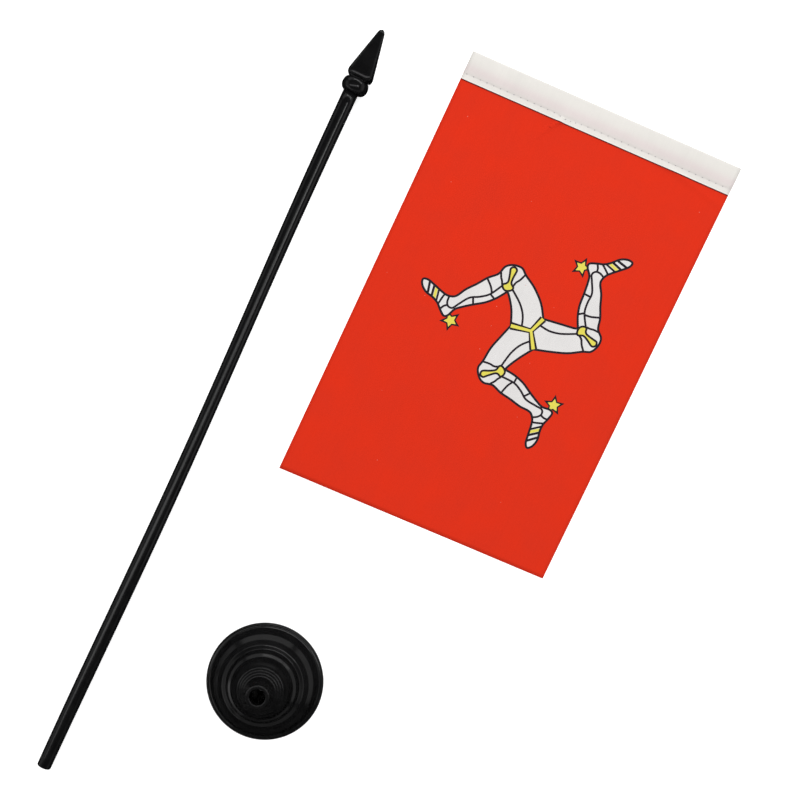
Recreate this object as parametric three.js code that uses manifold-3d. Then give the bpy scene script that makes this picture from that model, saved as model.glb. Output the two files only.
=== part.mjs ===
// A desk flag stand, taken apart and laid out on a table: its moulded base stands up,
// its pole lies on its side with the spear finial on, and its cloth flag lies flat.
// Millimetres, +Z up. +Y runs along the pole from foot to tip, and the flag lies towards +X.

import * as THREE from "three";
import { mergeVertices } from "three/addons/utils/BufferGeometryUtils.js";
import Module from "manifold-3d";

// Between pieces that touch or seat in each other
const FIT_GAP = 0.3;

// Pole
const POLE_LENGTH = 427; // foot to the tip of the spear
const ROD_RADIUS = 3.75;
const ROD_CHAMFER = 0.6;
const SPIGOT_RADIUS = 2.2;
const SPIGOT_LENGTH = 12;

// Finial, from the rod up
const BEAD_RADIUS = 6.55;
const BEAD_LENGTH = 7.6;
const WAIST_HALF = 5.5;
const WAIST_LENGTH = 0.6;
const BEVEL_LENGTH = 2.7;
const SPEAR_HALF = 6.85; // half its width across the flat faces
const SPEAR_LENGTH = 25.3; // widest place to tip
const TIP_HALF = 1.3;

// Base, a thin moulding that is open underneath
const BASE_RADIUS = 31;
const BASE_HEIGHT = 50;
const BASE_WALL = 1.8;
const RIM_CHAMFER = 0.7;
const RIM_HEIGHT = 2.4; // the upright edge of the rim
const SHOULDER_HEIGHT = 2.8; // the rounded top of the rim
const SHOULDER_WIDTH = 2.3;
const SOCKET_CLEARANCE = 0.35; // rod to socket, each side
const SOCKET_CHAMFER = 0.5;
const TUBE_WALL = 1.6;
const TUBE_FLOOR = 2;
const TUBE_LIFT = 8; // the table to the underside of the tube
const COLLAR_WALL = 2;
const COLLAR_HEIGHT = 2.8;
const COLLAR_OVERHANG = 0.4;
const ROOF_WIDTH = 1; // the top of the hollow, around the tube
const RIDGE_COUNT = 4;
const RIDGE_DEPTH = 0.45;
const RIB_COUNT = 4;
const RIB_THICKNESS = 1.2;

// The steps of the base between its rim and its collar, as shares of the way across and up.
// Each pair is the outer and the inner edge of one step.
const STEPS = [
  [[0.894, 0.147], [0.78, 0.206]],
  [[0.678, 0.284], [0.586, 0.312]],
  [[0.529, 0.402], [0.449, 0.437]],
  [[0.379, 0.563], [0.308, 0.61]],
];
const RIDGES_END = [0.1, 0.735];
const NECK_MIDDLE = [0.045, 0.84];

// Flag
const FLAG_LENGTH = 242; // fly edge to the fold of the sleeve
const HOIST_WIDTH = 154.9;
const FLY_WIDTH = 151.4;
const SLEEVE_EASE = 0.5; // what the flat sleeve has to spare over half way round the rod
const SEAM_FROM_EDGE = 3.2;
const SEAM_END = 2; // from the open ends of the sleeve
const CLOTH_THICKNESS = 0.5;
const POCKET_HEIGHT = 1; // inside the flat sleeve
const POCKET_RISE = 4; // how far from the seam the sleeve reaches that height
const THREAD_WIDTH = 0.4;
const THREAD_HEIGHT = 0.3;

// Where the pieces lie
const FLAG_TURN = THREE.MathUtils.degToRad(1.7);
const FLAG_SKEW = THREE.MathUtils.degToRad(2.2);
const HOIST_TURN = THREE.MathUtils.degToRad(0.95); // the sleeve's lean against the fly edge
const FLY_EDGE_FROM_FOOT = 195; // along the pole
const FLAG_GAP = 39.6; // finial to flag
const BASE_TO_FLY = 74.6;
const BASE_TO_POLE = 48.6;

// Mesh fineness
const BASE_SIDES = 40;
const POLE_SIDES = 24;
const ARC_STEPS = 4;

// Sizes that follow from the ones above
const socketRadius = ROD_RADIUS + SOCKET_CLEARANCE;
const tubeRadius = socketRadius + TUBE_WALL;
const collarRadius = socketRadius + COLLAR_WALL;
const collarFoot = BASE_HEIGHT - COLLAR_HEIGHT;
const skirtRadius = BASE_RADIUS - SHOULDER_WIDTH;
const skirtFoot = RIM_HEIGHT + SHOULDER_HEIGHT;
const finialLength = BEAD_LENGTH + WAIST_LENGTH + BEVEL_LENGTH + SPEAR_LENGTH;
const rodLength = POLE_LENGTH - finialLength;
const pocketWidth = Math.PI * ROD_RADIUS + SLEEVE_EASE; // seam to fold, inside the flat sleeve
const sleeveWidth = SEAM_FROM_EDGE + pocketWidth + CLOTH_THICKNESS;
const cutEdge = FLAG_LENGTH - sleeveWidth; // where the folded band ends on the flag
const seam = cutEdge + SEAM_FROM_EDGE;

const wasm = await Module();
wasm.setup();

const blackPlastic = new THREE.MeshStandardMaterial({ color: 0x141516, roughness: 0.35, metalness: 0 });
const redCloth = new THREE.MeshStandardMaterial({ color: 0xda2d1b, roughness: 0.85, metalness: 0 });
const whiteThread = new THREE.MeshStandardMaterial({ color: 0xe6e4df, roughness: 0.8, metalness: 0 });

function solidOf(geometry) {
  const bare = geometry.clone();
  bare.deleteAttribute("normal");
  bare.deleteAttribute("uv");
  const merged = mergeVertices(bare);
  const vertProperties = merged.attributes.position.array;
  const triVerts = new Uint32Array(merged.index.array);
  return new wasm.Manifold(new wasm.Mesh({ numProp: 3, vertProperties, triVerts }));
}

function geometryOf(solid) {
  const { vertProperties, triVerts } = solid.getMesh();
  const geometry = new THREE.BufferGeometry();
  geometry.setAttribute("position", new THREE.BufferAttribute(vertProperties, 3));
  geometry.setIndex(new THREE.BufferAttribute(triVerts, 1));
  geometry.computeVertexNormals();
  return geometry;
}

function mesh(name, geometry, material) {
  const made = new THREE.Mesh(geometry, material);
  made.name = name;
  return made;
}

// Turns an outline of [radius, height] points around the Y axis
function turned(outline, sides, start = 0) {
  const points = outline.map(([radius, height]) => new THREE.Vector2(radius, height));
  return new THREE.LatheGeometry(points, sides, start);
}

// ---- Base

// A point of the base's slope from its shares of the way across and up
function slopePoint([across, up]) {
  const radius = THREE.MathUtils.lerp(collarRadius - COLLAR_OVERHANG, skirtRadius, across);
  const height = THREE.MathUtils.lerp(skirtFoot, collarFoot, up);
  return [radius, height];
}

function rimOutline() {
  const points = [[BASE_RADIUS - RIM_CHAMFER, 0], [BASE_RADIUS, RIM_CHAMFER]];
  for (let i = 0; i <= ARC_STEPS; i += 1) {
    const angle = (i / ARC_STEPS) * (Math.PI / 2);
    points.push([
      skirtRadius + SHOULDER_WIDTH * Math.cos(angle),
      RIM_HEIGHT + SHOULDER_HEIGHT * Math.sin(angle),
    ]);
  }
  return points;
}

// Fine grooves across the slope between the last step and the neck
function ridgeOutline() {
  const [outerRadius, low] = slopePoint(STEPS.at(-1)[1]);
  const [innerRadius, high] = slopePoint(RIDGES_END);
  const points = [];
  for (let i = 1; i <= RIDGE_COUNT; i += 1) {
    const crest = (i - 0.35) / RIDGE_COUNT;
    const groove = i / RIDGE_COUNT;
    points.push([
      THREE.MathUtils.lerp(outerRadius, innerRadius, crest),
      THREE.MathUtils.lerp(low, high, crest) + RIDGE_DEPTH,
    ]);
    points.push([
      THREE.MathUtils.lerp(outerRadius, innerRadius, groove),
      THREE.MathUtils.lerp(low, high, groove),
    ]);
  }
  return points;
}

function collarOutline() {
  return [
    [collarRadius - COLLAR_OVERHANG, collarFoot],
    [collarRadius, collarFoot + COLLAR_OVERHANG],
    [collarRadius, BASE_HEIGHT - SOCKET_CHAMFER],
    [collarRadius - SOCKET_CHAMFER / 2, BASE_HEIGHT],
    [socketRadius + SOCKET_CHAMFER, BASE_HEIGHT],
    [socketRadius, BASE_HEIGHT - SOCKET_CHAMFER],
  ];
}

// The hollow under the base, from the rim inwards to the tube: the wall follows the steps
function hollowOutline(wall) {
  const inside = ([radius, height]) => [radius - wall, height - wall];
  const corners = STEPS.map(([, inner]) => inside(slopePoint(inner)));
  const roof = slopePoint(RIDGES_END)[1] - wall;
  return [inside([skirtRadius, skirtFoot]), ...corners, [tubeRadius + ROOF_WIDTH, roof]];
}

function baseShell() {
  const hollow = hollowOutline(BASE_WALL);
  const roof = hollow.at(-1)[1];
  const outside = [
    ...rimOutline(),
    ...STEPS.flat().map(slopePoint),
    ...ridgeOutline(),
    slopePoint(NECK_MIDDLE),
    ...collarOutline(),
  ];
  const socketFloor = TUBE_LIFT + TUBE_FLOOR;
  return turned([
    [0, TUBE_LIFT],
    [tubeRadius, TUBE_LIFT],
    [tubeRadius, roof],
    ...hollow.reverse(),
    [skirtRadius - BASE_WALL / 2, 0],
    ...outside,
    [socketRadius, socketFloor],
    [0, socketFloor],
  ], BASE_SIDES);
}

// A plate from the tube to the wall, let halfway into both
function rib() {
  const deep = hollowOutline(BASE_WALL / 2);
  const start = socketRadius + TUBE_WALL / 2;
  const outline = new THREE.Shape();
  outline.moveTo(start, TUBE_LIFT);
  deep.forEach(([radius, height]) => outline.lineTo(radius, height));
  outline.lineTo(start, deep.at(-1)[1]);
  const plate = new THREE.ExtrudeGeometry(outline, { depth: RIB_THICKNESS, bevelEnabled: false });
  return plate.translate(0, 0, -RIB_THICKNESS / 2);
}

function base() {
  let moulding = solidOf(baseShell());
  for (let i = 0; i < RIB_COUNT; i += 1) {
    const angle = ((i + 0.5) / RIB_COUNT) * 2 * Math.PI;
    moulding = moulding.add(solidOf(rib().rotateY(angle)));
  }
  return mesh("base", geometryOf(moulding), blackPlastic);
}

// ---- Pole

function rod() {
  const shoulder = rodLength - FIT_GAP;
  const spigotTop = rodLength + SPIGOT_LENGTH;
  const outline = [
    [0, 0],
    [ROD_RADIUS - ROD_CHAMFER, 0],
    [ROD_RADIUS, ROD_CHAMFER],
    [ROD_RADIUS, shoulder],
    [SPIGOT_RADIUS, shoulder],
    [SPIGOT_RADIUS, spigotTop],
    [0, spigotTop],
  ];
  return mesh("pole_rod", turned(outline, POLE_SIDES), blackPlastic);
}

function bead() {
  const outline = [[0, 0]];
  const steps = 2 * ARC_STEPS;
  const footRadius = ROD_RADIUS + FIT_GAP;
  for (let i = 0; i <= steps; i += 1) {
    const angle = (i / steps - 0.5) * Math.PI;
    const swell = (BEAD_RADIUS - footRadius) * Math.cos(angle);
    outline.push([footRadius + swell, (BEAD_LENGTH / 2) * (1 + Math.sin(angle))]);
  }
  outline.push([0, BEAD_LENGTH]);
  return turned(outline, POLE_SIDES);
}

// A four-sided point with a short bevel below it. Its flat faces look up, down and sideways.
function spear() {
  const corner = Math.SQRT2; // half width across the flats to the radius of the edges
  const waist = BEAD_LENGTH + WAIST_LENGTH;
  const widest = waist + BEVEL_LENGTH;
  const outline = [
    [0, BEAD_LENGTH / 2],
    [corner * WAIST_HALF, BEAD_LENGTH - WAIST_LENGTH],
    [corner * WAIST_HALF, waist],
    [corner * SPEAR_HALF, widest],
    [corner * TIP_HALF, finialLength - TIP_HALF / 2],
    [0, finialLength],
  ];
  return turned(outline, 4, Math.PI / 4);
}

function finial() {
  const holeDepth = SPIGOT_LENGTH + FIT_GAP;
  const hole = new THREE.CylinderGeometry(
    SPIGOT_RADIUS + FIT_GAP,
    SPIGOT_RADIUS + FIT_GAP,
    2 * holeDepth,
    POLE_SIDES,
  );
  const shape = solidOf(bead()).add(solidOf(spear())).subtract(solidOf(hole));
  const made = mesh("spear_finial", geometryOf(shape), blackPlastic);
  made.position.y = rodLength;
  return made;
}

// The pole rests on the edge of its foot and on the widest place of the spear
function pole() {
  const group = new THREE.Group();
  group.add(rod(), finial());
  group.rotation.x = Math.asin((SPEAR_HALF - ROD_RADIUS) / (POLE_LENGTH - SPEAR_LENGTH));
  group.position.z = ROD_RADIUS;
  return group;
}

// ---- Flag

// Takes an extrusion, whose axes are along, up and across the flag, to the flag as it lies:
// x across from its left edge, y along from the fly edge, z up. The edges lean and taper.
function layFlat(geometry) {
  const positions = geometry.attributes.position;
  for (let i = 0; i < positions.count; i += 1) {
    const along = positions.getX(i);
    const up = positions.getY(i);
    const across = positions.getZ(i) / HOIST_WIDTH;
    const width = THREE.MathUtils.lerp(FLY_WIDTH, HOIST_WIDTH, along / FLAG_LENGTH);
    const lean = (0.5 - across) * width * Math.tan(HOIST_TURN) * (along / FLAG_LENGTH);
    positions.setXYZ(i, across * width + along * Math.tan(FLAG_SKEW), along + lean, up);
  }
  geometry.computeVertexNormals();
  return geometry;
}

// One cloth, folded over at the hoist and sewn down along a seam, with the sleeve left open
function cloth() {
  const foldRadius = CLOTH_THICKNESS + POCKET_HEIGHT / 2;
  const fold = FLAG_LENGTH - foldRadius;
  const pocketTop = 2 * CLOTH_THICKNESS + POCKET_HEIGHT;
  const outline = new THREE.Shape();
  outline.moveTo(0, 0);
  outline.absarc(fold, foldRadius, foldRadius, -Math.PI / 2, Math.PI / 2);
  outline.lineTo(seam + POCKET_RISE, pocketTop);
  outline.lineTo(seam, 2 * CLOTH_THICKNESS);
  outline.lineTo(cutEdge, 2 * CLOTH_THICKNESS);
  outline.lineTo(cutEdge, CLOTH_THICKNESS);
  outline.lineTo(0, CLOTH_THICKNESS);
  const pocket = new THREE.Path();
  pocket.moveTo(seam, CLOTH_THICKNESS);
  pocket.absarc(fold, foldRadius, POCKET_HEIGHT / 2, -Math.PI / 2, Math.PI / 2);
  pocket.lineTo(seam + POCKET_RISE, CLOTH_THICKNESS + POCKET_HEIGHT);
  outline.holes.push(pocket);
  const settings = { depth: HOIST_WIDTH, bevelEnabled: false, curveSegments: ARC_STEPS };
  return mesh("flag_cloth", layFlat(new THREE.ExtrudeGeometry(outline, settings)), redCloth);
}

function hemThread() {
  const line = new THREE.BoxGeometry(THREAD_WIDTH, THREAD_HEIGHT, HOIST_WIDTH - 2 * SEAM_END);
  const height = 2 * CLOTH_THICKNESS + FIT_GAP + THREAD_HEIGHT / 2;
  return mesh("hem_thread", layFlat(line.translate(seam, height, HOIST_WIDTH / 2)), whiteThread);
}

function flag() {
  const group = new THREE.Group();
  group.add(cloth(), hemThread());
  group.rotation.z = FLAG_TURN;
  return group;
}

// ---- The pieces laid out, with the origin on the table under the middle of them all

const stand = new THREE.Group();
const standingBase = base();
standingBase.rotation.x = Math.PI / 2;
standingBase.position.x = SPEAR_HALF + BASE_TO_POLE + BASE_RADIUS;
standingBase.position.y = FLY_EDGE_FROM_FOOT - BASE_TO_FLY - BASE_RADIUS;
const lyingFlag = flag();
lyingFlag.position.set(SPEAR_HALF + FLAG_GAP, FLY_EDGE_FROM_FOOT, 0);
stand.add(standingBase, pole(), lyingFlag);

const box = new THREE.Box3().setFromObject(stand, true);
const middle = box.getCenter(new THREE.Vector3());
stand.position.set(-middle.x, -middle.y, -box.min.z);

export default stand;
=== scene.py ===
"""A desk flag stand, taken apart and laid out on a white table, seen from straight above.
Lengths are in metres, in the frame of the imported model: +Y along the pole, +Z up."""

import math
import random

import bmesh
import bpy
from mathutils import Matrix, Vector, noise
from mathutils.geometry import delaunay_2d_cdt


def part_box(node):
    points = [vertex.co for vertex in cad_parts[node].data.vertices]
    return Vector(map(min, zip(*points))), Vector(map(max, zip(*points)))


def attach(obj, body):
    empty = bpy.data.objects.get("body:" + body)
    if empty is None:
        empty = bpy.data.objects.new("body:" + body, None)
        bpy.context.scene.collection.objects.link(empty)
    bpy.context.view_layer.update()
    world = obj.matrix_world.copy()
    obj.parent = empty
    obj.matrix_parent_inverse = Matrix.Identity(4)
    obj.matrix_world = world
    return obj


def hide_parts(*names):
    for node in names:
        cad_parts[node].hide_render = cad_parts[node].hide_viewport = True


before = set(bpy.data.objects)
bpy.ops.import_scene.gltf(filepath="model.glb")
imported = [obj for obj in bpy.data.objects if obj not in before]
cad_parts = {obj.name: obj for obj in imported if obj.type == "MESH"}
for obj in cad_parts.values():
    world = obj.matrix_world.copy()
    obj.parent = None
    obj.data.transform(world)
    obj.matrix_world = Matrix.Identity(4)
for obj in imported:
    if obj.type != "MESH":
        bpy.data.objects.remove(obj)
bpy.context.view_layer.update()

MM = 0.001


# ---------------------------------------------------------------- camera

rod_low, rod_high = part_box("pole_rod")

CAMERA_HEIGHT = 0.880
CAMERA_TURN = math.radians(24.5)  # the picture's upright against the pole
CAMERA_X = (rod_low.x + rod_high.x) / 2 + 0.0898  # from the rod's axis
CAMERA_Y = rod_low.y + 0.2543  # from the rod's foot
VIEW_WIDTH = 0.424  # of the table, from edge to edge of the picture
SENSOR = 36.0


def make_camera():
    data = bpy.data.cameras.new("camera")
    data.sensor_width = SENSOR
    data.lens = SENSOR * CAMERA_HEIGHT / VIEW_WIDTH
    camera = bpy.data.objects.new("camera", data)
    camera.location = (CAMERA_X, CAMERA_Y, CAMERA_HEIGHT)
    camera.rotation_euler = (0, 0, CAMERA_TURN)
    bpy.context.scene.collection.objects.link(camera)
    bpy.context.scene.camera = camera


# ---------------------------------------------------------------- node helpers


class Nodes:
    """A short way to write a material's nodes."""

    def __init__(self, name):
        self.material = bpy.data.materials.new(name)
        self.material.use_nodes = True
        self.tree = self.material.node_tree
        self.shader = self.tree.nodes["Principled BSDF"]

    def add(self, kind, **values):
        node = self.tree.nodes.new(kind)
        for key, value in values.items():
            if hasattr(node, key):
                setattr(node, key, value)
            else:
                node.inputs[key.replace("_", " ")].default_value = value
        return node

    def link(self, source, target):
        self.tree.links.new(source, target)

    def set(self, **values):
        for key, value in values.items():
            self.shader.inputs[key.replace("_", " ")].default_value = value

    def position(self, scale=(1, 1, 1), turn=0.0):
        coords = self.add("ShaderNodeTexCoord")
        mapping = self.add("ShaderNodeMapping")
        mapping.inputs["Scale"].default_value = scale
        mapping.inputs["Rotation"].default_value = (0, 0, turn)
        self.link(coords.outputs["Object"], mapping.inputs["Vector"])
        return mapping.outputs["Vector"]

    def noise(self, vector, scale, detail=3.0, roughness=0.5):
        node = self.add("ShaderNodeTexNoise")
        node.inputs["Scale"].default_value = scale
        node.inputs["Detail"].default_value = detail
        node.inputs["Roughness"].default_value = roughness
        self.link(vector, node.inputs["Vector"])
        return node.outputs["Fac"]

    def ramp(self, source, stops):
        node = self.add("ShaderNodeValToRGB")
        elements = node.color_ramp.elements
        while len(elements) < len(stops):
            elements.new(0.5)
        for element, (place, colour) in zip(elements, stops):
            element.position = place
            element.color = (*colour, 1)
        self.link(source, node.inputs["Fac"])
        return node.outputs["Color"]

    def math(self, operation, first, second):
        node = self.add("ShaderNodeMath", operation=operation)
        for socket, value in zip(node.inputs, (first, second)):
            if isinstance(value, (int, float)):
                socket.default_value = value
            else:
                self.link(value, socket)
        return node.outputs["Value"]

    def bump(self, height, strength, distance):
        node = self.add("ShaderNodeBump")
        node.inputs["Strength"].default_value = strength
        node.inputs["Distance"].default_value = distance
        self.link(height, node.inputs["Height"])
        self.link(node.outputs["Normal"], self.shader.inputs["Normal"])


def grey(value):
    return (value, value, value)


# ---------------------------------------------------------------- materials


def black_plastic():
    """Moulded black plastic: semi-gloss, with fine orange peel and faint rub marks."""
    n = Nodes("black_plastic")
    place = n.position()
    blotches = n.noise(place, 180, detail=4)
    n.link(n.ramp(blotches, [(0.3, (0.003, 0.003, 0.0032)), (0.7, (0.005, 0.005, 0.0052))]),
           n.shader.inputs["Base Color"])
    rubs = n.noise(n.position((1, 0.15, 1)), 900, detail=5, roughness=0.7)
    n.link(n.ramp(rubs, [(0.35, grey(0.15)), (0.75, grey(0.23))]), n.shader.inputs["Roughness"])
    n.bump(n.noise(place, 1400, detail=2), 0.12, 0.00006)
    n.set(IOR=1.46)
    return n.material


def printed_cloth():
    """Thin plain-weave polyester. The face colours hold the print, and the painted shadow,
    highlight and needle-hole shade by the band's free edge.
    """
    n = Nodes("printed_cloth")
    ink = n.add("ShaderNodeAttribute", attribute_name="print")
    place = n.position(turn=-FLAG_TURN)
    streaks = n.noise(n.position((1, 0.05, 1), -FLAG_TURN), 900, detail=2)
    mottle = n.noise(place, 55, detail=5)
    shade = n.math("ADD", n.math("MULTIPLY", streaks, 0.05), n.math("MULTIPLY", mottle, 0.14))
    tone = n.math("ADD", shade, 0.905)
    mixed = n.add("ShaderNodeVectorMath", operation="SCALE")
    n.link(ink.outputs["Color"], mixed.inputs["Vector"])
    n.link(tone, mixed.inputs["Scale"])
    n.link(mixed.outputs["Vector"], n.shader.inputs["Base Color"])
    n.link(n.ramp(mottle, [(0.3, grey(0.66)), (0.7, grey(0.8))]), n.shader.inputs["Roughness"])
    warp = n.add("ShaderNodeTexWave", bands_direction="X")
    weft = n.add("ShaderNodeTexWave", bands_direction="Y")
    for threads in (warp, weft):
        threads.inputs["Scale"].default_value = THREADS_PER_METRE / 10
        n.link(place, threads.inputs["Vector"])
    weave = n.math("ADD", warp.outputs["Fac"], weft.outputs["Fac"])
    n.bump(n.math("ADD", weave, n.math("MULTIPLY", mottle, 0.8)), 0.25, 0.00005)
    n.set(Specular_IOR_Level=0.12)
    return n.material


def sewing_thread():
    n = Nodes("white_thread")
    twist = n.add("ShaderNodeTexWave", bands_direction="DIAGONAL")
    twist.inputs["Scale"].default_value = 900
    n.link(n.position(), twist.inputs["Vector"])
    n.link(n.ramp(twist.outputs["Fac"], [(0.0, (0.52, 0.51, 0.49)), (1.0, (0.68, 0.67, 0.64))]),
           n.shader.inputs["Base Color"])
    n.bump(twist.outputs["Fac"], 0.4, 0.00003)
    n.set(Roughness=0.6)
    return n.material


def table_top():
    n = Nodes("table_top")
    cloudy = n.noise(n.position(), 6, detail=2)
    n.link(n.ramp(cloudy, [(0.0, grey(0.86)), (1.0, grey(0.88))]), n.shader.inputs["Base Color"])
    n.set(Roughness=0.9, Emission_Color=(1, 1, 1, 1), Emission_Strength=0.45)
    return n.material


def glow_material(name, strength):
    n = Nodes(name)
    n.set(Base_Color=(0, 0, 0, 1), Emission_Color=(1, 1, 1, 1), Emission_Strength=strength)
    return n.material


# ---------------------------------------------------------------- mesh helpers


def make_piece(name, mesh, material, body, slot, *nodes):
    piece = bpy.data.objects.new(name, mesh)
    bpy.context.scene.collection.objects.link(piece)
    mesh.materials.append(material)
    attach(piece, body)
    if nodes:
        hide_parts(*nodes)
    return piece


def finish_mesh(bm, name):
    bmesh.ops.remove_doubles(bm, verts=bm.verts, dist=1e-7)
    bmesh.ops.recalc_face_normals(bm, faces=bm.faces)
    mesh = bpy.data.meshes.new(name)
    bm.to_mesh(mesh)
    bm.free()
    mesh.polygons.foreach_set("use_smooth", [True] * len(mesh.polygons))
    return mesh


def loft(rings):
    """A closed skin over rings of the same number of points, with a point at each end."""
    bm = bmesh.new()
    made = [[bm.verts.new(p) for p in ring] for ring in rings]
    for low, high in zip(made, made[1:]):
        for i in range(len(low)):
            j = (i + 1) % len(low)
            bm.faces.new((low[i], low[j], high[j], high[i]))
    for ring in (made[0], made[-1]):
        middle = bm.verts.new(sum((v.co for v in ring), Vector()) / len(ring))
        for i in range(len(ring)):
            bm.faces.new((ring[i], ring[(i + 1) % len(ring)], middle))
    return bm


def circle_ring(radius, height, sides, centre=(0, 0)):
    return [
        Vector((centre[0] + radius * math.cos(a), centre[1] + radius * math.sin(a), height))
        for a in (2 * math.pi * i / sides for i in range(sides))
    ]


def rounded(points, radii, steps=5):
    """An outline with each inner corner replaced by a curve that starts radius from the corner, or
    less than that where a side is short."""
    made = [Vector(points[0])]
    for before, corner, after, radius in zip(points, points[1:], points[2:], radii):
        before, corner, after = Vector(before), Vector(corner), Vector(after)
        reach = min(radius, (before - corner).length * 0.45, (after - corner).length * 0.45)
        start = corner + (before - corner).normalized() * reach
        end = corner + (after - corner).normalized() * reach
        for k in range(steps + 1):
            t = k / steps
            made.append(start * (1 - t) ** 2 + corner * 2 * t * (1 - t) + end * t ** 2)
    made.append(Vector(points[-1]))
    return made


def mix(a, b, share):
    return a + (b - a) * share


def spline(points, closed=False, steps=5):
    """A smooth line through the points."""
    count = len(points)
    spans = count if closed else count - 1
    line = []
    for i in range(spans):
        if closed:
            p = [Vector(points[(i + k - 1) % count]) for k in range(4)]
        else:
            p = [Vector(points[min(max(i + k - 1, 0), count - 1)]) for k in range(4)]
        for k in range(steps):
            t = k / steps
            line.append(0.5 * (2 * p[1] + (p[2] - p[0]) * t
                               + (2 * p[0] - 5 * p[1] + 4 * p[2] - p[3]) * t ** 2
                               + (3 * p[1] - p[0] - 3 * p[2] + p[3]) * t ** 3))
    if not closed:
        line.append(Vector(points[-1]))
    return line


# ---------------------------------------------------------------- base

base_low, base_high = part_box("base")
BASE_CENTRE = (base_low + base_high) / 2
BASE_RADIUS = (base_high.x - base_low.x) / 2
BASE_HEIGHT = base_high.z
BASE_WALL = 1.8 * MM
SHOULDER_WIDTH = 2.3 * MM
RIM_HEIGHT = 2.4 * MM
SHOULDER_TOP = 5.2 * MM
FOOT_CHAMFER = 0.7 * MM
LIP_WIDTH = 1.7 * MM
LIP_TOP = 4.15 * MM
LIP_STEP = (0.18 * MM, 0.75 * MM)  # the thin chamfer above the lip, across and up
COLLAR_RADIUS = 6.1 * MM
COLLAR_FOOT = BASE_HEIGHT - 2.8 * MM
COLLAR_OVERHANG = 0.4 * MM
SOCKET_RADIUS = 4.1 * MM
TUBE_RADIUS = 5.7 * MM
TUBE_LIFT = 8 * MM
SOCKET_FLOOR = 10 * MM
RIDGE_COUNT = 4
RIDGE_DEPTH = 0.45 * MM
RIB_COUNT = 4
RIB_THICKNESS = 1.2 * MM
BASE_SIDES = 180

# Outer and inner edge of each step, as shares of the way out from the collar and up from the rim
STEPS = [
    [(0.894, 0.147), (0.78, 0.206)],
    [(0.678, 0.284), (0.586, 0.312)],
    [(0.529, 0.402), (0.449, 0.437)],
    [(0.379, 0.563), (0.308, 0.61)],
]
RIDGES_END = (0.1, 0.735)
NECK_MIDDLE = (0.045, 0.84)


def slope_point(shares):
    """A point on the slope, from its shares of the way out from the collar and up from the rim."""
    inner = COLLAR_RADIUS - COLLAR_OVERHANG
    outer = BASE_RADIUS - SHOULDER_WIDTH
    return (mix(inner, outer, shares[0]), mix(SHOULDER_TOP, COLLAR_FOOT, shares[1]))


def ridge_points():
    outer, low = slope_point(STEPS[-1][1])
    inner, high = slope_point(RIDGES_END)
    points = []
    for i in range(1, RIDGE_COUNT + 1):
        crest, groove = (i - 0.35) / RIDGE_COUNT, i / RIDGE_COUNT
        points.append((mix(outer, inner, crest), mix(low, high, crest) + RIDGE_DEPTH))
        points.append((mix(outer, inner, groove), mix(low, high, groove)))
    return points


def hollow_points(wall):
    """The hollow's roof from the skirt to the tube, a wall's thickness inside the slope."""
    corners = [(BASE_RADIUS - SHOULDER_WIDTH, SHOULDER_TOP)]
    corners += [slope_point(inner) for _, inner in STEPS]
    roof = slope_point(RIDGES_END)[1] - wall
    return [(r - wall, h - wall) for r, h in corners] + [(TUBE_RADIUS + 1 * MM, roof)]


def base_outline():
    """From the middle of the tube's underside, round the hollow, over the outside and into the
    socket."""
    hollow = hollow_points(BASE_WALL)
    skirt = BASE_RADIUS - SHOULDER_WIDTH
    lip = BASE_RADIUS - LIP_WIDTH
    shoulder = [
        (lip + LIP_WIDTH * math.cos(a), RIM_HEIGHT + (LIP_TOP - RIM_HEIGHT) * math.sin(a))
        for a in (i * math.pi / 16 for i in range(9))
    ]
    shoulder += [(lip - LIP_STEP[0], LIP_TOP + LIP_STEP[1]), (skirt, SHOULDER_TOP)]
    soft, crisp = 0.5 * MM, 0.3 * MM
    corners = [
        ((0, TUBE_LIFT), 0),
        ((TUBE_RADIUS, TUBE_LIFT), crisp),
        ((TUBE_RADIUS, hollow[-1][1]), crisp),
        *[(p, crisp) for p in reversed(hollow)],
        ((skirt - BASE_WALL / 2, 0), crisp),
        ((BASE_RADIUS - FOOT_CHAMFER, 0), crisp),
        ((BASE_RADIUS, FOOT_CHAMFER), crisp),
        *[(p, 0.1 * MM) for p in shoulder],
        *[(slope_point(p), soft) for step in STEPS for p in step],
        *[(p, soft) for p in ridge_points()],
        (slope_point(NECK_MIDDLE), 2 * MM),
        ((COLLAR_RADIUS - COLLAR_OVERHANG, COLLAR_FOOT), crisp),
        ((COLLAR_RADIUS, COLLAR_FOOT + COLLAR_OVERHANG), crisp),
        ((COLLAR_RADIUS, BASE_HEIGHT), soft),
        ((SOCKET_RADIUS, BASE_HEIGHT), crisp),
        ((SOCKET_RADIUS, SOCKET_FLOOR), crisp),
        ((0, SOCKET_FLOOR), 0),
    ]
    return rounded([p for p, _ in corners], [r for _, r in corners[1:-1]])


def add_rib(bm, angle):
    deep = hollow_points(BASE_WALL / 2)
    start = (SOCKET_RADIUS + TUBE_RADIUS) / 2
    outline = [(start, TUBE_LIFT), *deep, (start, deep[-1][1])]
    turn = Matrix.Rotation(angle, 4, "Z")
    sides = []
    for offset in (-RIB_THICKNESS / 2, RIB_THICKNESS / 2):
        sides.append([bm.verts.new(turn @ Vector((r, offset, h))) for r, h in outline])
    bm.faces.new(sides[0])
    bm.faces.new(reversed(sides[1]))
    for i in range(len(outline)):
        j = (i + 1) % len(outline)
        bm.faces.new((sides[0][i], sides[0][j], sides[1][j], sides[1][i]))


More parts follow.
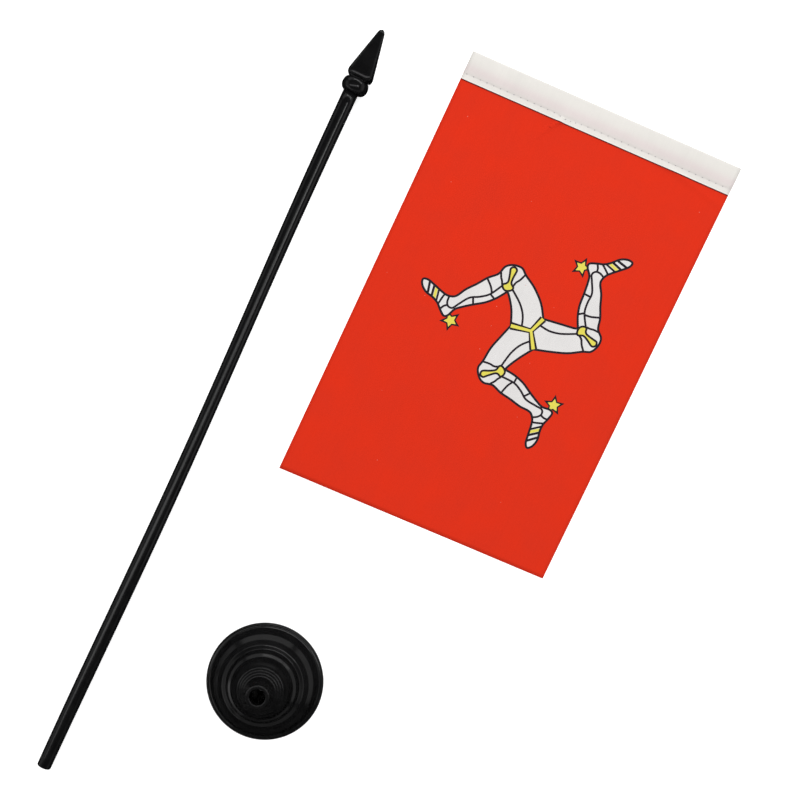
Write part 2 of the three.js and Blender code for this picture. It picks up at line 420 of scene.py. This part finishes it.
def make_base(plastic):
    outline = base_outline()
    least = 1e-6  # the radius of the ring around a point on the axis
    rings = [circle_ring(max(p[0], least), p[1], BASE_SIDES) for p in outline]
    mesh = finish_mesh(loft(rings), "base")
    mesh.transform(Matrix.Translation((BASE_CENTRE.x, BASE_CENTRE.y, 0)))
    make_piece("base_moulding", mesh, plastic, "base", "black_plastic", "base")
    bm = bmesh.new()
    for i in range(RIB_COUNT):
        add_rib(bm, (i + 0.5) * 2 * math.pi / RIB_COUNT)
    ribs = finish_mesh(bm, "base_ribs")
    ribs.transform(Matrix.Translation((BASE_CENTRE.x, BASE_CENTRE.y, 0)))
    ribs.polygons.foreach_set("use_smooth", [False] * len(ribs.polygons))
    make_piece("base_ribs", ribs, plastic, "base", "black_plastic")


# ---------------------------------------------------------------- pole

spear_low, spear_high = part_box("spear_finial")
ROD_RADIUS = (rod_high.x - rod_low.x) / 2
SPEAR_HALF = (spear_high.x - spear_low.x) / 2
POLE_LENGTH = spear_high.y - rod_low.y
FINIAL_LENGTH = spear_high.y - spear_low.y
ROD_LENGTH = POLE_LENGTH - FINIAL_LENGTH
SPEAR_LENGTH = 25.3 * MM
BEAD_RADIUS = 7.2 * MM
BEAD_LENGTH = 7.6 * MM
WAIST_HALF = 5.2 * MM
TIP_HALF = 1.7 * MM
FINIAL_LEAN = math.radians(2.0)
FINIAL_SHIFT = 0.50 * MM  # sideways, against the end of the rod
TIP_PAST_END = 0.8 * MM
FOOT_ROUND = 0.9 * MM
ROD_SIDES = 64
ROD_BANDS = 60
SPEAR_SIDES = 128
SPEAR_SQUARENESS = 6

# The moulded rod isn't quite straight or even: along it run one slow sideways wave and one in
# the radius, each with a height, the share of the length where it crests and its wavelength
BOW_MIDDLE = -0.27 * MM
BOW_HEIGHT, BOW_CREST, BOW_WAVELENGTH = 0.8 * MM, 0.43, 0.90
SWELL_MIDDLE = 3.75 * MM
SWELL_TAPER = 0.2 * MM
SWELL_HEIGHT, SWELL_CREST, SWELL_WAVELENGTH = 0.17 * MM, 0.22, 0.78


def pole_place():
    """From the pole's own frame, foot at the origin and along +Z, to where it lies."""
    tilt = math.asin((SPEAR_HALF - ROD_RADIUS) / (POLE_LENGTH - SPEAR_LENGTH))
    foot = Vector(((rod_low.x + rod_high.x) / 2, rod_low.y, ROD_RADIUS))
    return Matrix.Translation(foot) @ Matrix.Rotation(tilt - math.pi / 2, 4, "X")


def wave(share, height, crest, wavelength):
    return height * math.cos(2 * math.pi * (share - crest) / wavelength)


def rod_bow(share):
    """The axis's sideways offset at a share of the rod's length."""
    return BOW_MIDDLE + wave(share, BOW_HEIGHT, BOW_CREST, BOW_WAVELENGTH)


def rod_radius(share):
    """The radius there, which also grows slightly towards the finial."""
    swell = wave(share, SWELL_HEIGHT, SWELL_CREST, SWELL_WAVELENGTH)
    return SWELL_MIDDLE + SWELL_TAPER * share + swell


def bow_sideways(mesh):
    """Bends the rod, or moves the finial with its end, in the plane of the table."""
    for vertex in mesh.vertices:
        share = (vertex.co.y - rod_low.y) / ROD_LENGTH
        vertex.co.x += rod_bow(min(max(share, 0), 1))


def make_rod(plastic):
    flat = rod_radius(0) - FOOT_ROUND
    foot = [(flat + FOOT_ROUND * math.sin(a), FOOT_ROUND * (1 - math.cos(a)))
            for a in (i * math.pi / 12 for i in range(7))]
    shares = [i / ROD_BANDS for i in range(1, ROD_BANDS + 1)]
    body = [(rod_radius(share), mix(FOOT_ROUND, ROD_LENGTH, share)) for share in shares]
    end = [(ROD_RADIUS - 0.3 * MM, ROD_LENGTH + 0.1 * MM)]
    rings = [circle_ring(r, h, ROD_SIDES) for r, h in foot + body + end]
    mesh = finish_mesh(loft(rings), "rod")
    mesh.transform(pole_place())
    bow_sideways(mesh)
    make_piece("rod", mesh, plastic, "pole", "black_plastic", "pole_rod")


def squared_ring(half, height, squareness):
    """A circle at a squareness of 2, and nearer to a square the higher that is."""
    ring = []
    for i in range(SPEAR_SIDES):
        a = 2 * math.pi * i / SPEAR_SIDES
        c, s = math.cos(a), math.sin(a)
        reach = half / (abs(c) ** squareness + abs(s) ** squareness) ** (1 / squareness)
        ring.append(Vector((reach * c, reach * s, height)))
    return ring


def make_finial(plastic):
    bead_foot = rod_radius(1) + 0.1 * MM
    stations = []
    for i in range(17):
        a = math.pi * (i / 16 - 0.5)
        top = WAIST_HALF if a > 0 else bead_foot
        half = top + (BEAD_RADIUS - top) * math.cos(a)
        stations.append((half, BEAD_LENGTH / 2 * (1 + math.sin(a)), 2))
    waist = BEAD_LENGTH + 0.5 * MM
    widest = FINIAL_LENGTH - SPEAR_LENGTH
    edges = [
        (WAIST_HALF, BEAD_LENGTH + 0.1 * MM),
        (WAIST_HALF + 0.1 * MM, waist),
        (SPEAR_HALF - 0.2 * MM, waist + 0.8 * MM),
        (SPEAR_HALF + 0.12 * MM, widest - 0.2 * MM),
        (TIP_HALF, FINIAL_LENGTH + TIP_PAST_END - TIP_HALF * 0.7),
        (0.02 * MM, FINIAL_LENGTH + TIP_PAST_END),
    ]
    for half, height in rounded(edges, [0.3 * MM, 0.5 * MM, 1.0 * MM, 1.5 * MM])[1:]:
        stations.append((half, height, SPEAR_SQUARENESS))
    rings = [squared_ring(*station) for station in stations]
    mesh = finish_mesh(loft(rings), "finial")
    lean = Matrix.Rotation(FINIAL_LEAN, 4, "Y")
    mesh.transform(pole_place() @ Matrix.Translation((FINIAL_SHIFT, 0, ROD_LENGTH)) @ lean)
    bow_sideways(mesh)
    for vertex in mesh.vertices:  # the bead and the spear's edge rest on the table
        vertex.co.z = max(vertex.co.z, 0.0)
    make_piece("finial", mesh, plastic, "pole", "black_plastic", "spear_finial")


# ---------------------------------------------------------------- flag

cloth_low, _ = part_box("flag_cloth")
FLAG_TURN = math.radians(1.7)
FLAG_SKEW = math.radians(2.2)
HOIST_TURN = math.radians(0.95)  # the sleeve's lean against the fly edge
FLAG_LENGTH = 242 * MM
HOIST_WIDTH = 154.9 * MM
FLY_WIDTH = 151.4 * MM
SLEEVE_WIDTH = 15.6 * MM
SEAM_FROM_EDGE = 3.2 * MM
SEAM_END = 2 * MM  # from the open ends of the sleeve
DIP_PLACE = 61 * MM  # where the seam runs nearer to the free edge, with shorter stitches
DIP_REACH = 6 * MM
DIP_DEPTH = 1.0 * MM
PRINT_UNDER_SLEEVE = 7 * MM  # how far the colour goes on under the folded band
CLOTH = 0.2 * MM  # thickness
FOLD_RADIUS = 0.45 * MM
LAYER_GAP = 1.15 * CLOTH  # from one layer to the other at the seam
POCKET_BULGE = 0.55 * MM
EDGE_LIFT = 0.14 * MM  # of the sleeve's free edge
RIPPLE_HEIGHT = 0.35 * MM
CUT_LENGTH = FLAG_LENGTH + SLEEVE_WIDTH + (math.pi - 2) * FOLD_RADIUS
STITCH = 3.9 * MM
SHORTER_STITCH = 0.3  # the share that a stitch loses at the dip
THREAD_RADIUS = 0.13 * MM
THREAD_BOW = 0.16 * MM
THREAD_SINK = 0.10 * MM
HOLE_RADIUS = 0.36 * MM  # of the needle's holes
HOLE_DEPTH = 0.12 * MM
PAINTED_SHADOW_WIDTH = 0.45 * MM  # painted shadow: a dark line painted on the print, to each side of the free edge
# the width of the painted highlight along the band's free edge
HIGHLIGHT_EDGE_WIDTH = 0.4 * MM
SHOW_PLACE = 0.9 * PRINT_UNDER_SLEEVE  # where the colour shows through the band, from its edge
SHOW_REACH = 2.8 * MM
BACK_PALER = 0.10  # how far the back's colours are from the front's towards white
LINT_COUNT = 16
THREADS_PER_METRE = 3600
COLUMNS = 62
FLAT_ROWS = 96
FOLD_ROWS = 8
SLEEVE_ROWS = 32
# Where each crease leaves the free edge, its lean, how far it runs, its width and its height
CREASES = [
    (57 * MM, 0.6, 7 * MM, 1.5 * MM, 1.1 * MM),
    (124 * MM, -4.0, 8 * MM, 8.0 * MM, 0.5 * MM),
]

RED = (0.53, 0.0195, 0.0038)
WHITE = (0.585, 0.567, 0.535)
BAND = (0.558, 0.541, 0.512)  # the folded band, two layers of white cloth
# painted highlight: the band's free edge, lighter than the cloth's own white
BAND_EDGE_HIGHLIGHT = (0.72, 0.70, 0.67)
PINK = (0.555, 0.497, 0.487)  # the band where colour shows through it
FIGURE = (0.550, 0.537, 0.530)  # its white
INK = (0.015, 0.011, 0.016)
YELLOW = (0.56, 0.50, 0.075)
SEALED = (0.33, 0.02, 0.012)  # the melted cut edge
# painted shadow: the dark line along the band's free edge, and on that edge's side
PAINTED_SHADOW = (0.16, 0.016, 0.013)
# painted shade in the needle holes, which are also dimpled in the cloth
PAINTED_HOLE_SHADE = (0.33, 0.31, 0.32)
LINT = (0.60, 0.17, 0.13)

HUB = (91.4 * MM, 118.7 * MM)  # middle of the figure, from the left edge and from the fly
# The figure's own sizes are in mm
LINE = 1.2  # its outline
FINE_LINE = 1.1
FIGURE_REACH = 70.0  # nothing is printed further from its middle

# The figure's three limbs are one drawing, in mm from its middle: turn, size, and the inner
# corner where the limb meets the one before it
LIMBS = [(0, 1.02, (3.2, 8.4)), (119, 1.03, (-11.0, -1.7)), (-125, 1.01, (5.3, -8.5))]
LIMB = [
    (12.4, 9.3), (20.0, 10.2), (21.3, 11.2),
    (20.2, 13.6), (18.6, 17.2), (17.2, 22.4), (16.7, 28.7), (16.0, 34.6), (15.1, 38.4),
    (12.5, 41.8), (12.5, 44.2), (16.2, 45.8),
    (19.4, 46.8), (22.5, 48.9), (26.0, 52.4), (29.8, 53.9), (32.6, 53.3),
    (32.0, 50.7), (28.9, 47.6), (23.8, 42.8), (22.1, 39.6),
    (22.2, 36.6), (25.0, 31.8), (27.3, 25.9), (29.9, 20.2), (31.4, 14.6),
    (34.8, 10.9), (35.2, 6.7), (33.2, 2.4),
    (29.1, 0.6), (22.3, -3.2), (13.9, -6.0),
]
KNEE = [
    (22.0, 9.8), (22.4, 11.8), (24.0, 12.9), (25.7, 12.7), (26.1, 10.9), (27.4, 9.7),
    (31.3, 8.7), (33.6, 8.1), (34.0, 6.2), (32.2, 5.1), (28.7, 7.2), (25.9, 8.4), (23.5, 7.6),
    (22.4, 8.2),
]
SEAMS = [
    [(25.5, 13.2), (27.5, 13.1), (29.6, 13.4), (32.1, 13.2)],
    [(23.9, 7.7), (25.8, 6.2), (27.1, 3.8), (29.5, 0.9)],
    [(2.6, 4.6), (8.6, 3.7), (15.0, 4.8), (22.4, 8.0)],
    [(25.2, 12.9), (21.3, 19.5), (20.4, 25.0), (20.4, 30.4), (17.6, 36.2), (16.0, 39.4),
     (17.2, 41.5), (19.6, 41.7), (22.4, 40.4)],
    [(16.7, 28.7), (20.3, 28.4)],
    [(18.6, 17.7), (21.4, 19.5)],
    [(21.7, 18.7), (25.2, 19.0), (30.0, 20.6)],
    [(16.2, 45.7), (17.4, 43.9), (17.9, 41.7)],
    [(18.9, 46.5), (21.8, 44.3), (23.7, 42.6)],
]
# Across the foot: start, end, width and ink of each stripe
STRIPES = [
    ((19.4, 47.7), (27.2, 45.2), 1.1, INK),
    ((20.6, 48.9), (28.4, 46.2), 1.5, YELLOW),
    ((22.0, 50.0), (29.8, 47.3), 1.3, INK),
    ((24.0, 51.7), (31.8, 49.6), 1.3, INK),
]
STAR = (9.6, 40.8)
STAR_REACH, STAR_WAIST = 3.5, 1.82  # of the yellow
STAR_POINTS, POINTS_WAIST = 5.8, 2.668  # of the longer dark star under it
STAR_TURN = math.radians(13)
ARM_HALF = 0.95  # of the yellow Y where the limbs meet, at its ends
ARM_ROOT = 1.3


def turned(points, angle):
    c, s = math.cos(angle), math.sin(angle)
    return [Vector((x * c - y * s, x * s + y * c)) for x, y in points]


def star_outline(reach, waist):
    points = []
    for i in range(10):
        r = reach if i % 2 == 0 else waist
        a = STAR_TURN + i * math.pi / 5
        points.append((STAR[0] + r * math.cos(a), STAR[1] + r * math.sin(a)))
    return points


def arm_outline(tip, grow):
    """An arm of the yellow Y, from the figure's middle to a corner between two limbs."""
    tip = Vector(tip)
    side = Vector((-tip.y, tip.x)).normalized()
    root, end = side * (ARM_ROOT + grow), side * (ARM_HALF + grow)
    back = tip.normalized() * -(ARM_ROOT + grow) * 0.6
    return [back - root * 0.5, tip - end, tip + end, back + root * 0.5]


class Layer:
    """A printed shape: an outline filled with an ink, kept inside another where one is given."""

    def __init__(self, outline, ink, clip=None):
        self.outline = [Vector((p[0], p[1])) for p in outline]
        self.ink = ink
        self.clip = clip
        xs, ys = [p.x for p in self.outline], [p.y for p in self.outline]
        self.box = (min(xs), min(ys), max(xs), max(ys))

    def holds(self, point):
        low_x, low_y, high_x, high_y = self.box
        if not (low_x <= point.x <= high_x and low_y <= point.y <= high_y):
            return False
        return inside(point, self.outline) and (self.clip is None or inside(point, self.clip))


def stroke(line, width, ink, clip=None):
    return Layer(beside(line, width / 2) + beside(line, -width / 2)[::-1], ink, clip)


def ring_stroke(outline, width, ink):
    """A closed clockwise shape grown by half the width, or shrunk where the width is below 0. A
    shrunk one on top of a grown one leaves an outline."""
    closed = outline + outline[:2]
    return Layer(beside(closed, width / 2)[1:-1], ink)


def make_print():
    """The figure's layers, from the lowest up, in mm from its middle."""
    layers = []
    for k, (turn, size, corner) in enumerate(LIMBS):
        angle = math.radians(turn)

        def place(points):
            return turned([(x * size, y * size) for x, y in points], angle)

        layers.append(Layer(place(star_outline(STAR_POINTS, POINTS_WAIST)), INK))
        layers.append(Layer(place(star_outline(STAR_REACH, STAR_WAIST)), YELLOW))
        start, end = Vector(corner), Vector(LIMBS[k - 1][2])
        edge = spline([start, *place(LIMB), end])
        limb = edge + [Vector((0, 0))]
        layers.append(Layer(limb, FIGURE))
        for first, last, width, ink in STRIPES:
            layers.append(stroke(place([first, last]), width, ink, limb))
        for seam in SEAMS:
            layers.append(stroke(spline(place(seam)), FINE_LINE, INK, limb))
        layers.append(stroke(edge, LINE, INK))
        knee = spline(place(KNEE), closed=True)
        layers.append(ring_stroke(knee, FINE_LINE, INK))
        layers.append(ring_stroke(knee, -FINE_LINE, YELLOW))
    for grow, ink in ((LINE, INK), (0, YELLOW)):
        layers += [Layer(arm_outline(corner, grow), ink) for _, _, corner in LIMBS]
    return layers


def beside(line, offset):
    """The line moved to its left by offset."""
    moved = []
    for i, p in enumerate(line):
        along = (line[min(i + 1, len(line) - 1)] - line[max(i - 1, 0)]).normalized()
        moved.append(p + Vector((-along.y, along.x)) * offset)
    return moved


def inside(point, outline):
    x, y = point
    found = False
    ax, ay = outline[-1]
    for bx, by in outline:
        if (ay > y) != (by > y) and x < ax + (y - ay) * (bx - ax) / (by - ay):
            found = not found
        ax, ay = bx, by
    return found


def seam_dip(u):
    """How much of the seam's dip is reached at u across the sleeve, from 0 to 1."""
    return math.exp(-((u - DIP_PLACE) / DIP_REACH) ** 2)


def needle_holes():
    """The ends of the stitches on the cut cloth, from one open end of the sleeve to the other."""
    holes, u = [], SEAM_END
    while u < HOIST_WIDTH - SEAM_END:
        holes.append(Vector((u, CUT_LENGTH - SEAM_FROM_EDGE + DIP_DEPTH * seam_dip(u))))
        u += STITCH * (1 - SHORTER_STITCH * seam_dip(u))
    return holes


def lint_specks():
    """A few pale specks on the print: middles and radii."""
    chance = random.Random(11)
    specks = []
    for _ in range(LINT_COUNT):
        across = chance.uniform(0.04, 0.96) * FLY_WIDTH
        along = chance.uniform(0.04, 0.88) * FLAG_LENGTH
        specks.append((Vector((across, along)), chance.uniform(0.14, 0.24) * MM))
    return specks


def dot_outline(middle, radius, sides=10):
    return [middle + Vector((math.cos(a), math.sin(a))) * radius
            for a in (2 * math.pi * i / sides for i in range(sides))]


class Print:
    """Tells the ink at a point of the cut cloth, in metres from its left fly corner, and along the
    band's free edge the painted shadow and highlight and the painted shade in the needle holes.
    """

    def __init__(self):
        self.layers = make_print()
        self.holes = needle_holes()
        self.lint = lint_specks()

    def at(self, u, w):
        cut = FLAG_LENGTH - SLEEVE_WIDTH
        if w > CUT_LENGTH - SLEEVE_WIDTH:
            return self.sleeve_ink(u, w)
        if w > cut + PRINT_UNDER_SLEEVE:
            return WHITE
        # a painted shadow line along the band's free edge
        if cut - PAINTED_SHADOW_WIDTH < w < cut + PAINTED_SHADOW_WIDTH:
            return PAINTED_SHADOW
        point = Vector(((u - HUB[0]) / MM, (w - HUB[1]) / MM))
        if any((Vector((u, w)) - middle).length < radius for middle, radius in self.lint):
            return LINT
        if point.length > FIGURE_REACH:
            return RED
        for layer in reversed(self.layers):
            if layer.holds(point):
                return layer.ink
        return RED

    def sleeve_ink(self, u, w):
        """The colour under the band shows faintly through it."""
        from_edge = CUT_LENGTH - w
        # a painted highlight along the band's free edge
        if from_edge < HIGHLIGHT_EDGE_WIDTH:
            return BAND_EDGE_HIGHLIGHT
        # painted shade in the needle holes, over a real dimple
        if any((Vector((u, w)) - hole).length < HOLE_RADIUS for hole in self.holes):
            return PAINTED_HOLE_SHADE
        share = math.exp(-((from_edge - SHOW_PLACE) / SHOW_REACH) ** 2)
        return tuple(mix(a, b, share) for a, b in zip(BAND, PINK))


def pattern_rows():
    """The lines across the cut cloth, as distances from its fly edge."""
    fold = FLAG_LENGTH - FOLD_RADIUS
    arc = math.pi * FOLD_RADIUS
    sleeve = CUT_LENGTH - fold - arc
    rows = [fold * i / FLAT_ROWS for i in range(FLAT_ROWS + 1)]
    rows += [fold + arc * i / FOLD_ROWS for i in range(1, FOLD_ROWS + 1)]
    rows += [fold + arc + sleeve * i / SLEEVE_ROWS for i in range(1, SLEEVE_ROWS + 1)]
    cut = FLAG_LENGTH - SLEEVE_WIDTH
    rows += [cut + PRINT_UNDER_SLEEVE, cut - PAINTED_SHADOW_WIDTH, cut + PAINTED_SHADOW_WIDTH]
    return sorted(rows + [CUT_LENGTH - HIGHLIGHT_EDGE_WIDTH])


def crease_points():
    """Extra points along the creases, which are narrower than the rows and columns."""
    points = []
    for place, lean, _, width, _ in CREASES:
        for i in range(-10, 11):
            for j in range(20):
                down = 0.7 * MM * (j + 1)
                u = place - down * lean + i * width / 4
                if 1 * MM < u < HOIST_WIDTH - 1 * MM:
                    points.append(Vector((u, FLAG_LENGTH - SLEEVE_WIDTH - down)))
    return points


def cut_pattern(ink):
    """The flat cloth as triangles that follow the print's edges: points, faces."""
    points, edges = [], []

    def add_line(line, closed):
        first = len(points)
        points.extend(line)
        for i in range(len(line) - (0 if closed else 1)):
            edges.append((first + i, first + (i + 1) % len(line)))

    for layer in ink.layers:
        add_line([Vector((HUB[0] + p.x * MM, HUB[1] + p.y * MM)) for p in layer.outline], True)
    for hole in ink.holes:
        add_line(dot_outline(hole, HOLE_RADIUS), True)
        points.append(hole)
    for middle, radius in ink.lint:
        add_line(dot_outline(middle, radius, 6), True)
    for w in pattern_rows():
        add_line([Vector((HOIST_WIDTH * i / COLUMNS, w)) for i in range(COLUMNS + 1)], False)
    points.extend(crease_points())
    corners = [(0, 0), (HOIST_WIDTH, 0), (HOIST_WIDTH, CUT_LENGTH), (0, CUT_LENGTH)]
    add_line([Vector(corner) for corner in corners], True)
    made, _, faces, _, _, _ = delaunay_2d_cdt(points, edges, [], 0, 2e-6)
    return made, faces


def ripple(u, v):
    """How far the flat cloth stands off the table: broad soft swells, and the creases by the
    sleeve."""
    broad = noise.noise(Vector((u * 14, v * 11, 0.3)))
    fine = noise.noise(Vector((u * 34, v * 27, 4.1)))
    lift = RIPPLE_HEIGHT * (1 + (broad + 0.5 * fine))
    down = FLAG_LENGTH - SLEEVE_WIDTH - v
    for place, lean, reach, width, height in CREASES:
        across = (u - place + down * lean) / width
        fade = math.exp(-down / reach) if down > 0 else math.exp(down / (2 * MM))
        lift += height * math.exp(-across * across) * fade
    return max(0.0, lift)


def fold_over(u, w):
    """Where a point of the cut cloth comes to lie: across, along and up."""
    fold = FLAG_LENGTH - FOLD_RADIUS
    arc = math.pi * FOLD_RADIUS
    if w <= fold:
        return u, w, ripple(u, w)
    ground = ripple(u, fold)
    if w < fold + arc:
        a = (w - fold) / FOLD_RADIUS
        return u, fold + FOLD_RADIUS * math.sin(a), ground + FOLD_RADIUS * (1 - math.cos(a))
    back = w - fold - arc
    v = fold - back
    edge = CUT_LENGTH - w
    pocket = max(0.0, min(1.0, (edge - SEAM_FROM_EDGE) / (SLEEVE_WIDTH - SEAM_FROM_EDGE)))
    gap = LAYER_GAP + (2 * FOLD_RADIUS - LAYER_GAP) * pocket ** 0.5
    gap += POCKET_BULGE * math.sin(math.pi * pocket ** 0.8)
    flap = max(0.0, 1 - edge / SEAM_FROM_EDGE)
    gap += EDGE_LIFT * flap * flap
    return u, v, ripple(u, v) + gap


def lay_flat(across, along, up):
    """From the flag's own axes to the table, with the lean and taper of its long edges."""
    width = mix(FLY_WIDTH, HOIST_WIDTH, along / FLAG_LENGTH)
    share = across / HOIST_WIDTH
    x = share * width + along * math.tan(FLAG_SKEW)
    y = along + (0.5 - share) * width * math.tan(HOIST_TURN) * along / FLAG_LENGTH
    c, s = math.cos(FLAG_TURN), math.sin(FLAG_TURN)
    return Vector((cloth_low.x + x * c - y * s, cloth_low.y + x * s + y * c, up))


def paint_face(face, paint, colour):
    for loop in face.loops:
        loop[paint] = (*colour, 1)


def add_border(bm, paint, flat, under, border):
    """The sides of the cut edges: melted where the cloth is printed, white on the band, and
    painted as shadow on the band's free edge."""
    for edge in border:
        loop = next(l for l in edge.link_faces[0].loops if l.edge == edge)
        first, second = loop.vert, loop.link_loop_next.vert
        colour = SEALED if loop[paint][1] < 0.1 else WHITE
        # the side of the band's free edge is painted as shadow
        if min(flat[first].y, flat[second].y) > CUT_LENGTH - CLOTH:
            colour = PAINTED_SHADOW
        made = bm.faces.new((second, first, under[first], under[second]))
        paint_face(made, paint, colour)


def make_cloth(material):
    """The cloth, and how far it was raised to rest on the table."""
    ink = Print()
    points, faces = cut_pattern(ink)
    bm = bmesh.new()
    paint = bm.loops.layers.float_color.new("print")
    laid = [bm.verts.new(lay_flat(*fold_over(p.x, p.y))) for p in points]
    flat = dict(zip(laid, points))
    front = []
    for face in faces:
        middle = sum((points[i] for i in face), Vector((0, 0))) / len(face)
        colour = ink.at(middle.x, middle.y)
        made = bm.faces.new([laid[i] for i in face])
        paint_face(made, paint, colour)
        front.append((made, colour))
    bm.normal_update()
    border = [edge for edge in bm.edges if edge.is_boundary]
    under = {v: bm.verts.new(v.co - v.normal * CLOTH) for v in laid}
    for v, p in flat.items():
        near = (p - hole for hole in ink.holes)
        if p.y > CUT_LENGTH - SLEEVE_WIDTH and any(d.length < HOLE_RADIUS / 4 for d in near):
            v.co.z -= HOLE_DEPTH
    for face, colour in front:
        made = bm.faces.new([under[v] for v in reversed(face.verts)])
        paint_face(made, paint, [mix(c, w, BACK_PALER) for c, w in zip(colour, WHITE)])
    add_border(bm, paint, flat, under, border)
    lowest = min(v.co.z for v in bm.verts)
    for v in bm.verts:
        v.co.z -= lowest
    mesh = bpy.data.meshes.new("cloth")
    bm.to_mesh(mesh)
    bm.free()
    mesh.polygons.foreach_set("use_smooth", [True] * len(mesh.polygons))
    return make_piece("cloth", mesh, material, "flag", "printed_cloth", "flag_cloth"), -lowest


def make_stitches(material, lift):
    """One short bowed thread for each stitch, with both ends going down into the cloth."""
    bm = bmesh.new()
    holes = needle_holes()
    sides, steps = 8, 10
    for start, end in zip(holes, holes[1:]):
        route = []
        for k in range(steps + 1):
            t = k / steps
            place = start.lerp(end, 0.05 + 0.9 * t)
            bow = THREAD_BOW * math.sin(math.pi * t) ** 0.5 - THREAD_SINK
            route.append(lay_flat(*fold_over(place.x, place.y)) + Vector((0, 0, lift + bow)))
        along = (route[-1] - route[0]).normalized()
        across = Vector((-along.y, along.x, 0))
        rings = []
        for k, centre in enumerate(route):
            reach = THREAD_RADIUS * (0.55 if k in (0, steps) else 1)
            rings.append([
                centre + across * reach * math.cos(a) + Vector((0, 0, 1)) * reach * math.sin(a)
                for a in (2 * math.pi * j / sides for j in range(sides))
            ])
        part = loft(rings)
        part_mesh = bpy.data.meshes.new("stitch")
        part.to_mesh(part_mesh)
        part.free()
        bm.from_mesh(part_mesh)
        bpy.data.meshes.remove(part_mesh)
    mesh = finish_mesh(bm, "stitches")
    return make_piece("stitches", mesh, material, "flag", "white_thread", "hem_thread")


# ---------------------------------------------------------------- table and light

TABLE_REACH = 20.0  # so that no corner shows from a low angle
GLOW_INNER = BASE_RADIUS - 0.5 * MM
GLOW_OUTER = BASE_RADIUS + 1.6 * MM
GLOW_DEPTH = 0.5 * MM
GLOW_STEPS = 48


def make_table():
    mesh = bpy.data.meshes.new("table")
    signs = [(-1, -1), (1, -1), (1, 1), (-1, 1)]
    corners = [(x * TABLE_REACH, y * TABLE_REACH, 0) for x, y in signs]
    mesh.from_pydata(corners, [], [(0, 1, 2, 3)])
    table = bpy.data.objects.new("table", mesh)
    mesh.materials.append(table_top())
    bpy.context.scene.collection.objects.link(table)
    table.visible_glossy = False


def rim_glow(name, start, end, strength):
    """An arc just under the table around the base, seen only as a reflection in its rim. Its ends
    are degrees from the picture's right."""
    mesh = bpy.data.meshes.new(name)
    points = []
    for i in range(GLOW_STEPS + 1):
        a = CAMERA_TURN + math.radians(mix(start, end, i / GLOW_STEPS))
        for radius in (GLOW_INNER, GLOW_OUTER):
            x, y = radius * math.cos(a), radius * math.sin(a)
            points.append((BASE_CENTRE.x + x, BASE_CENTRE.y + y, -GLOW_DEPTH))
    faces = [(2 * i, 2 * i + 1, 2 * i + 3, 2 * i + 2) for i in range(GLOW_STEPS)]
    mesh.from_pydata(points, [], faces)
    glow = bpy.data.objects.new(name, mesh)
    mesh.materials.append(glow_material(name, strength))
    bpy.context.scene.collection.objects.link(glow)
    glow.visible_camera = False
    glow.visible_diffuse = False
    glow.visible_shadow = False


def soft_light(name, size, glow, place, glossy=True):
    """A rectangular soft box of a given brightness that faces the middle of the picture. Its place
    is right, up and above the table from there, and its first size runs level."""
    right = Vector((math.cos(CAMERA_TURN), math.sin(CAMERA_TURN), 0))
    up = Vector((-math.sin(CAMERA_TURN), math.cos(CAMERA_TURN), 0))
    away = right * place[0] + up * place[1] + Vector((0, 0, place[2]))
    back = away.normalized()
    level = Vector((0, 0, 1)).cross(back)
    if level.length < 0.3:  # nearly overhead
        level = right
    steep = back.cross(level).normalized()
    level = steep.cross(back)
    data = bpy.data.lights.new(name, "AREA")
    data.shape = "RECTANGLE"
    data.size, data.size_y = size
    data.energy = glow * math.pi * size[0] * size[1]
    light = bpy.data.objects.new(name, data)
    turn = Matrix((level, steep, back)).transposed().to_4x4()
    light.matrix_world = Matrix.Translation(Vector((CAMERA_X, CAMERA_Y, 0)) + away) @ turn
    light.visible_glossy = glossy
    bpy.context.scene.collection.objects.link(light)


def make_light():
    world = bpy.data.worlds.new("studio")
    bpy.context.scene.world = world
    world.use_nodes = True
    back = world.node_tree.nodes["Background"]
    back.inputs["Color"].default_value = (1, 1, 1, 1)
    back.inputs["Strength"].default_value = 0.83
    world.cycles_visibility.glossy = False
    soft_light("key", (1.0, 1.0), 2.6, (0.3, 1.0, 1.0), glossy=False)
    soft_light("ceiling_strip", (2.4, 0.3), 1.8, (-0.21, -0.06, 1.3))
    soft_light("side_strip", (0.45, 0.12), 3.4, (0.60, -0.06, 1.3))
    soft_light("top_panel", (2.6, 0.9), 0.5, (0.0, 1.5, 0.45))
    soft_light("right_panel", (2.6, 0.9), 0.4, (1.5, 0.0, 0.45))
    soft_light("left_panel", (2.6, 0.9), 0.3, (-1.5, 0.0, 0.45))
    soft_light("bottom_panel", (2.6, 0.9), 0.17, (0.0, -1.5, 0.45))
    soft_light("far_glow", (1.8, 0.3), 2.4, (0.65, 1.12, 0.75))
    soft_light("near_glow", (1.4, 0.2), 0.9, (-1.2, -0.7, 0.12))
    bpy.context.scene.view_settings.view_transform = "Standard"
    bpy.context.scene.view_settings.look = "None"


# ---------------------------------------------------------------- the scene

make_camera()
plastic = black_plastic()
make_base(plastic)
make_rod(plastic)
make_finial(plastic)
cloth, cloth_lift = make_cloth(printed_cloth())
stitches = make_stitches(sewing_thread(), cloth_lift)
for piece in (cloth, stitches):
    piece.visible_glossy = False
make_table()
rim_glow("rim_glow_bright", 5, 125, 2.0)
rim_glow("rim_glow_dim", 125, 365, 1.0)
make_light()
